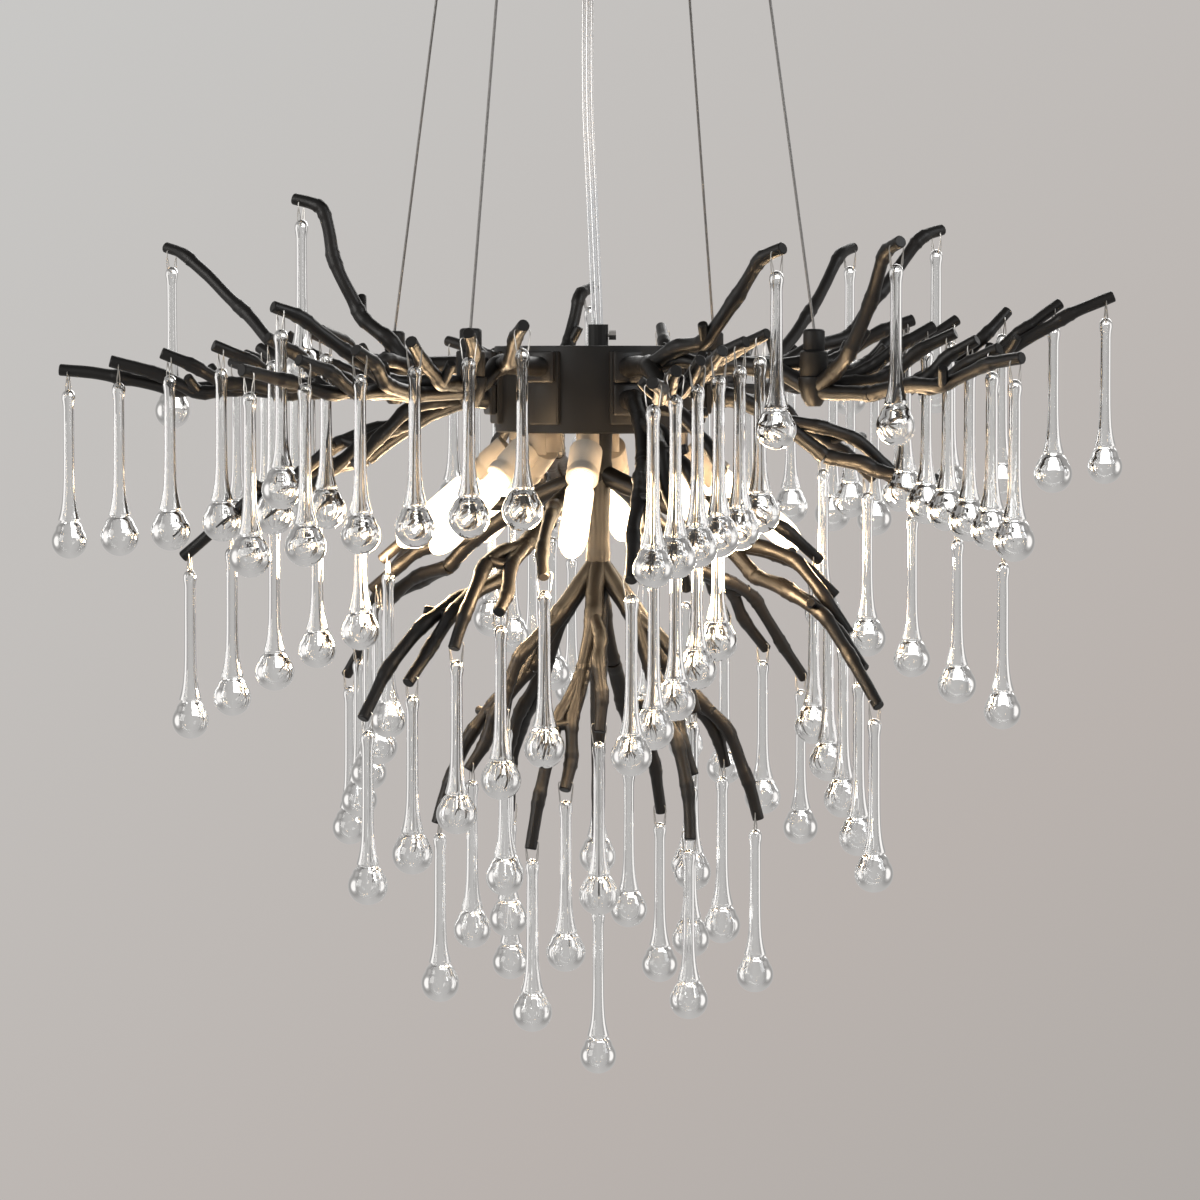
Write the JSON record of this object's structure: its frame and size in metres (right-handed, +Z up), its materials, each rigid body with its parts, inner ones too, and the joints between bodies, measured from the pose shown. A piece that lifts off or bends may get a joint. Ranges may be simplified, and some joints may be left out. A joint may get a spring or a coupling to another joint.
{
  "type": "crystal chandelier",
  "caption": "Black cast-metal branch chandelier hung on thin cables, with clear glass drops that swing from wire hangers around splayed capsule bulbs.",
  "frame": {"origin": "on the ceiling plane, on the chandelier's upright axis", "axes": "+Z up, +X to the right in the picture, -Y towards the camera"},
  "size_m": [0.5984, 0.5489, 0.658],
  "materials": {
    "black_metal": "matte black paint",
    "branch_metal": "satin black on cast metal",
    "plated_steel": "zinc plated",
    "steel_cable": "twisted wire",
    "clear_cord": "clear jacket over wire cores",
    "white_plastic": "moulded",
    "lamp_ceramic": "unglazed",
    "bulb_glass": "frosted, lit",
    "drop_glass": "clear, polished"
  },
  "bodies": {
    "frame": {"ceiling_bracket": "plated_steel", "canopy_cover": "black_metal", "canopy_nuts": "black_metal", "terminal_block": "white_plastic", "suspension_cables": "steel_cable", "cable_anchors": "black_metal", "cable_grips": "black_metal", "power_cord": "clear_cord", "cord_grip": "black_metal", "hub_housing": "black_metal", "branch_screws": "plated_steel", "hub_cover": "black_metal", "lamp_holders": "lamp_ceramic", "bulbs": "bulb_glass", "upper_branch_1": "branch_metal", "upper_branch_2": "branch_metal", "upper_branch_3": "branch_metal", "upper_branch_4": "branch_metal", "upper_branch_5": "branch_metal", "upper_branch_6": "branch_metal", "upper_branch_7": "branch_metal", "upper_branch_8": "branch_metal", "middle_branch_1": "branch_metal", "middle_branch_2": "branch_metal", "middle_branch_3": "branch_metal", "middle_branch_4": "branch_metal", "lower_branch": "branch_metal"},
    "thumb_screw": {"cord_thumb_screw": "plated_steel"},
    "upper_drops_1_hung": {"upper_drops_1": "drop_glass"},
    "crown_drop_1_hung": {"crown_drop_1": "drop_glass"},
    "upper_drops_2_hung": {"upper_drops_2": "drop_glass"},
    "crown_drop_2_hung": {"crown_drop_2": "drop_glass"},
    "upper_drops_3_hung": {"upper_drops_3": "drop_glass"},
    "crown_drop_3_hung": {"crown_drop_3": "drop_glass"},
    "upper_drops_4_hung": {"upper_drops_4": "drop_glass"},
    "crown_drop_4_hung": {"crown_drop_4": "drop_glass"},
    "upper_drops_5_hung": {"upper_drops_5": "drop_glass"},
    "crown_drop_5_hung": {"crown_drop_5": "drop_glass"},
    "upper_drops_6_hung": {"upper_drops_6": "drop_glass"},
    "crown_drop_6_hung": {"crown_drop_6": "drop_glass"},
    "upper_drops_7_hung": {"upper_drops_7": "drop_glass"},
    "crown_drop_7_hung": {"crown_drop_7": "drop_glass"},
    "upper_drops_8_hung": {"upper_drops_8": "drop_glass"},
    "crown_drop_8_hung": {"crown_drop_8": "drop_glass"},
    "middle_drops_1_hung": {"middle_drops_1": "drop_glass"},
    "middle_drops_2_hung": {"middle_drops_2": "drop_glass"},
    "middle_drops_3_hung": {"middle_drops_3": "drop_glass"},
    "middle_drops_4_hung": {"middle_drops_4": "drop_glass"},
    "steep_drops_1_hung": {"steep_drops_1": "drop_glass"},
    "steep_drops_2_hung": {"steep_drops_2": "drop_glass"},
    "steep_drops_3_hung": {"steep_drops_3": "drop_glass"},
    "steep_drops_4_hung": {"steep_drops_4": "drop_glass"},
    "lower_drops_1_hung": {"lower_drops_1": "drop_glass"},
    "lower_drops_2_hung": {"lower_drops_2": "drop_glass"},
    "lower_drops_3_hung": {"lower_drops_3": "drop_glass"},
    "lower_drops_4_hung": {"lower_drops_4": "drop_glass"},
    "lower_drops_5_hung": {"lower_drops_5": "drop_glass"},
    "lower_drops_6_hung": {"lower_drops_6": "drop_glass"},
    "centre_drop_hung": {"centre_drop": "drop_glass"}
  },
  "joints": [
    {"name": "thumb_screw_turn", "type": "hinge", "parent": "frame", "child": "thumb_screw", "pos_m": [0, 0, -0.24], "axis": [1, 0, 0], "continuous": true},
    {"name": "upper_drops_1_swing", "type": "hinge", "parent": "frame", "child": "upper_drops_1_hung", "pos_m": [-0.0392, -0.16789, -0.238], "axis": [-0.9338, -0.3249, -0.1497], "range_deg": [-5, 5]},
    {"name": "crown_drop_1_swing", "type": "hinge", "parent": "frame", "child": "crown_drop_1_hung", "pos_m": [-0.16394, -0.16976, -0.228], "axis": [-0.4806, 0.8769, 0], "range_deg": [-5, 5]},
    {"name": "upper_drops_2_swing", "type": "hinge", "parent": "frame", "child": "upper_drops_2_hung", "pos_m": [0.08488, -0.1429, -0.242], "axis": [-0.4232, -0.8887, -0.1762], "range_deg": [-3, 3]},
    {"name": "crown_drop_2_swing", "type": "hinge", "parent": "frame", "child": "crown_drop_2_hung", "pos_m": [0.09202, -0.17306, -0.198], "axis": [-0.7349, -0.6782, 0], "range_deg": [-2, 5]},
    {"name": "upper_drops_3_swing", "type": "hinge", "parent": "frame", "child": "upper_drops_3_hung", "pos_m": [0.16889, -0.03747, -0.234], "axis": [0.3274, -0.9344, -0.1403], "range_deg": [-5, 5]},
    {"name": "crown_drop_3_swing", "type": "hinge", "parent": "frame", "child": "crown_drop_3_hung", "pos_m": [0.15538, -0.15005, -0.194], "axis": [-0.9064, -0.4224, 0], "range_deg": [-5, 5]},
    {"name": "upper_drops_4_swing", "type": "hinge", "parent": "frame", "child": "upper_drops_4_hung", "pos_m": [0.14644, 0.091, -0.242], "axis": [0.9086, -0.3926, 0.1423], "range_deg": [-5, 5]},
    {"name": "crown_drop_4_swing", "type": "hinge", "parent": "frame", "child": "crown_drop_4_hung", "pos_m": [0.1955, 0.08704, -0.18], "axis": [0.5415, -0.8407, 0], "range_deg": [-3, 5]},
    {"name": "upper_drops_5_swing", "type": "hinge", "parent": "frame", "child": "upper_drops_5_hung", "pos_m": [0.03843, 0.16256, -0.236], "axis": [0.9232, 0.3512, -0.156], "range_deg": [-5, 5]},
    {"name": "crown_drop_5_swing", "type": "hinge", "parent": "frame", "child": "crown_drop_5_hung", "pos_m": [0.15468, 0.23818, -0.186], "axis": [0.812, -0.5837, 0], "range_deg": [-5, 5]},
    {"name": "upper_drops_6_swing", "type": "hinge", "parent": "frame", "child": "upper_drops_6_hung", "pos_m": [-0.08617, 0.14773, -0.244], "axis": [0.463, 0.8761, -0.1348], "range_deg": [-4, 5]},
    {"name": "crown_drop_6_swing", "type": "hinge", "parent": "frame", "child": "crown_drop_6_hung", "pos_m": [-0.00489, 0.13992, -0.212], "axis": [0.8484, -0.5293, 0], "range_deg": [-3, 5]},
    {"name": "upper_drops_7_swing", "type": "hinge", "parent": "frame", "child": "upper_drops_7_hung", "pos_m": [-0.16356, 0.0367, -0.238], "axis": [-0.3612, 0.9246, -0.1213], "range_deg": [-5, 5]},
    {"name": "crown_drop_7_swing", "type": "hinge", "parent": "frame", "child": "crown_drop_7_hung", "pos_m": [-0.25496, 0.16557, -0.188], "axis": [0.5792, 0.8152, 0], "range_deg": [-5, 5]},
    {"name": "upper_drops_8_swing", "type": "hinge", "parent": "frame", "child": "upper_drops_8_hung", "pos_m": [-0.14592, -0.09293, -0.24], "axis": [-0.9145, 0.3846, -0.1254], "range_deg": [-5, 5]},
    {"name": "crown_drop_8_swing", "type": "hinge", "parent": "frame", "child": "crown_drop_8_hung", "pos_m": [-0.16477, -0.00864, -0.166], "axis": [0.2964, 0.9551, 0], "range_deg": [-5, 5]},
    {"name": "middle_drops_1_swing", "type": "hinge", "parent": "frame", "child": "middle_drops_1_hung", "pos_m": [0.06328, -0.12798, -0.31], "axis": [-0.3876, -0.8131, -0.4344], "range_deg": [-5, 5]},
    {"name": "middle_drops_2_swing", "type": "hinge", "parent": "frame", "child": "middle_drops_2_hung", "pos_m": [0.1294, 0.06573, -0.306], "axis": [0.8198, -0.3789, -0.4295], "range_deg": [-5, 5]},
    {"name": "middle_drops_3_swing", "type": "hinge", "parent": "frame", "child": "middle_drops_3_hung", "pos_m": [-0.06328, 0.12798, -0.312], "axis": [0.3964, 0.8061, -0.4394], "range_deg": [-5, 5]},
    {"name": "middle_drops_4_swing", "type": "hinge", "parent": "frame", "child": "middle_drops_4_hung", "pos_m": [-0.1294, -0.06573, -0.308], "axis": [-0.8131, 0.3876, -0.4344], "range_deg": [-5, 5]},
    {"name": "steep_drops_1_swing", "type": "hinge", "parent": "frame", "child": "steep_drops_1_hung", "pos_m": [-0.02856, -0.11746, -0.366], "axis": [-0.7609, -0.2641, -0.5927], "range_deg": [-5, 5]},
    {"name": "steep_drops_2_swing", "type": "hinge", "parent": "frame", "child": "steep_drops_2_hung", "pos_m": [0.11919, -0.02956, -0.362], "axis": [0.2299, -0.7669, -0.5992], "range_deg": [-5, 5]},
    {"name": "steep_drops_3_swing", "type": "hinge", "parent": "frame", "child": "steep_drops_3_hung", "pos_m": [0.02856, 0.11746, -0.368], "axis": [0.7609, 0.2641, -0.5927], "range_deg": [-5, 5]},
    {"name": "steep_drops_4_swing", "type": "hinge", "parent": "frame", "child": "steep_drops_4_hung", "pos_m": [-0.11919, 0.02956, -0.364], "axis": [-0.2299, 0.7669, -0.5992], "range_deg": [-5, 5]},
    {"name": "lower_drops_1_swing", "type": "hinge", "parent": "frame", "child": "lower_drops_1_hung", "pos_m": [-0.05188, -0.03047, -0.446], "axis": [-0.4891, 0.2824, -0.8253], "range_deg": [-5, 5]},
    {"name": "lower_drops_2_swing", "type": "hinge", "parent": "frame", "child": "lower_drops_2_hung", "pos_m": [0.00044, -0.06017, -0.452], "axis": [-0.4872, -0.2593, -0.8339], "range_deg": [-5, 5]},
    {"name": "lower_drops_3_swing", "type": "hinge", "parent": "frame", "child": "lower_drops_3_hung", "pos_m": [0.05233, -0.0297, -0.444], "axis": [-0.0367, -0.5141, -0.8569], "range_deg": [-5, 5]},
    {"name": "lower_drops_4_swing", "type": "hinge", "parent": "frame", "child": "lower_drops_4_hung", "pos_m": [0.05188, 0.03047, -0.45], "axis": [0.5113, -0.2952, -0.8071], "range_deg": [-5, 5]},
    {"name": "lower_drops_5_swing", "type": "hinge", "parent": "frame", "child": "lower_drops_5_hung", "pos_m": [-0.00044, 0.06017, -0.446], "axis": [0.4661, 0.2481, -0.8492], "range_deg": [-5, 5]},
    {"name": "lower_drops_6_swing", "type": "hinge", "parent": "frame", "child": "lower_drops_6_hung", "pos_m": [-0.05233, 0.0297, -0.452], "axis": [0.0199, 0.5772, -0.8163], "range_deg": [-5, 5]},
    {"name": "centre_drop_swing", "type": "hinge", "parent": "frame", "child": "centre_drop_hung", "pos_m": [0, 0, -0.552], "axis": [0, 1, 0], "range_deg": [-5, 5]}
  ]
}
